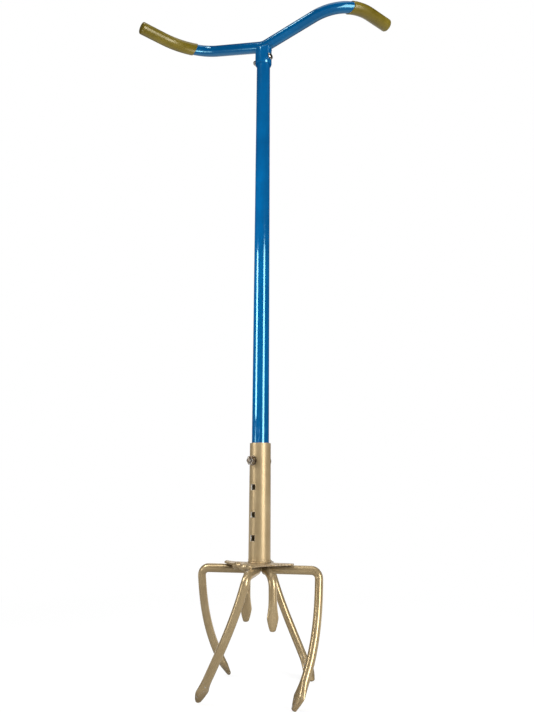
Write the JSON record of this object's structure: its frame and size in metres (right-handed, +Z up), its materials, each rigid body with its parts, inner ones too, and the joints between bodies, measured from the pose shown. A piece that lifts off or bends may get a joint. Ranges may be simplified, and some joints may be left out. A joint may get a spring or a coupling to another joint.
{
  "type": "garden cultivator",
  "caption": "Hand-twist cultivator: an S-shaped handlebar on a long tube turns a head of curved tines in the soil.",
  "frame": {"origin": "on the tubes' axis, level with the tips of the outer tines", "axes": "+Z up along the tubes; the arms of the outer tines lie along X and Y, and the handlebar's ends lie towards +X and -X"},
  "size_m": [0.4348, 0.1538, 0.9782],
  "materials": {
    "blue_paint": "gloss",
    "gold_paint": "semi-gloss metallic",
    "olive_vinyl": "glossy dipped vinyl",
    "zinc_plate": "zinc plated"
  },
  "bodies": {
    "tool": {"claw_plate": "gold_paint", "grip_left": "olive_vinyl", "grip_right": "olive_vinyl", "handle_bolt": "zinc_plate", "handle_nut": "zinc_plate", "handle_socket": "blue_paint", "handlebar": "blue_paint", "inner_tine_1": "gold_paint", "inner_tine_2": "gold_paint", "lower_tube": "gold_paint", "main_shaft": "blue_paint", "outer_tine_1": "gold_paint", "outer_tine_2": "gold_paint", "outer_tine_3": "gold_paint", "outer_tine_4": "gold_paint", "tube_weld": "gold_paint"},
    "bolt": {"height_bolt": "zinc_plate"},
    "washer": {"height_washer": "zinc_plate"},
    "nut": {"height_nut": "zinc_plate"}
  },
  "joints": [
    {"name": "height_bolt_draw", "type": "slide", "parent": "tool", "child": "bolt", "axis": [0.5, 0.866, 0], "range_m": [0, 0.04]},
    {"name": "height_nut_travel", "type": "slide", "parent": "tool", "child": "washer", "axis": [-0.5, -0.866, 0], "range_m": [0, 0.0065]},
    {"name": "height_nut_turn", "type": "hinge", "parent": "washer", "child": "nut", "pos_m": [0, 0, 0.2488], "axis": [-0.5, -0.866, 0], "range_deg": [0, 2340]}
  ],
  "couplings": [
    {"joint": "height_nut_turn", "follows": "height_nut_travel", "rad_per_m": 6283.2}
  ]
}
